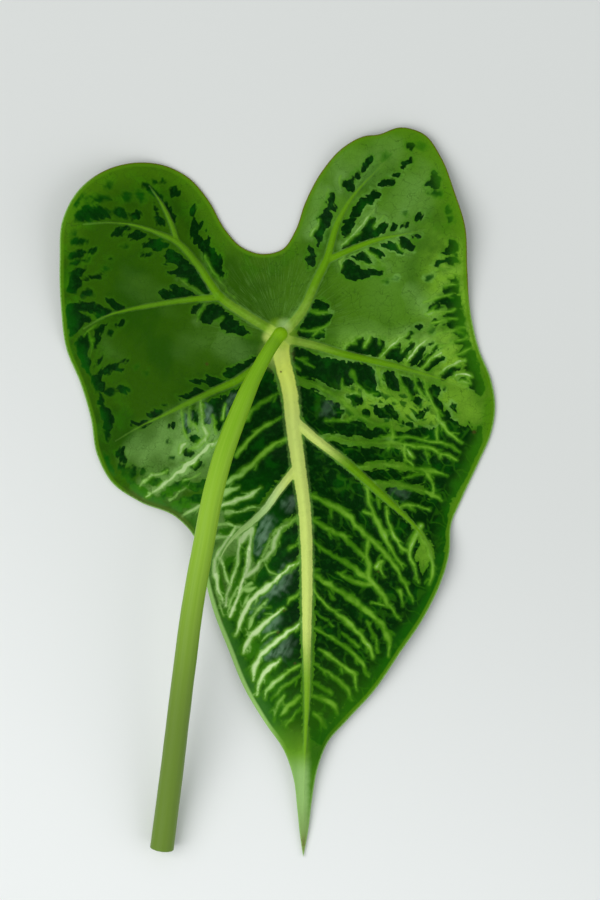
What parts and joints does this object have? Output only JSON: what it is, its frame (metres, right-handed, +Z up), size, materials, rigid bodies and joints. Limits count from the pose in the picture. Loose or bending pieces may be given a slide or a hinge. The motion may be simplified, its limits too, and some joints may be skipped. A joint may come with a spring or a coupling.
{
  "type": "alocasia leaf",
  "caption": "Picked frydek tattoo alocasia leaf, an arrow-shaped blade with raised ribs and a long drip tip, lying ribs up with its stalk arching over it.",
  "frame": {"origin": "middle of the footprint of the leaf with its stalk, on the surface that it lies on", "axes": "+Y from the drip tip towards the two basal lobes, +X across the blade, to the right with the ribs up and the lobes away, +Z up, out of the ribbed underside of the blade"},
  "size_m": [0.0956, 0.1602, 0.02],
  "materials": {
    "blade_green": "waxy leaf tissue, near-black green blotches between pale green veins",
    "stalk_green": "satin yellow-green leaf stalk"
  },
  "bodies": {
    "root": {"blade": "blade_green", "petiole": "stalk_green"}
  },
  "joints": []
}
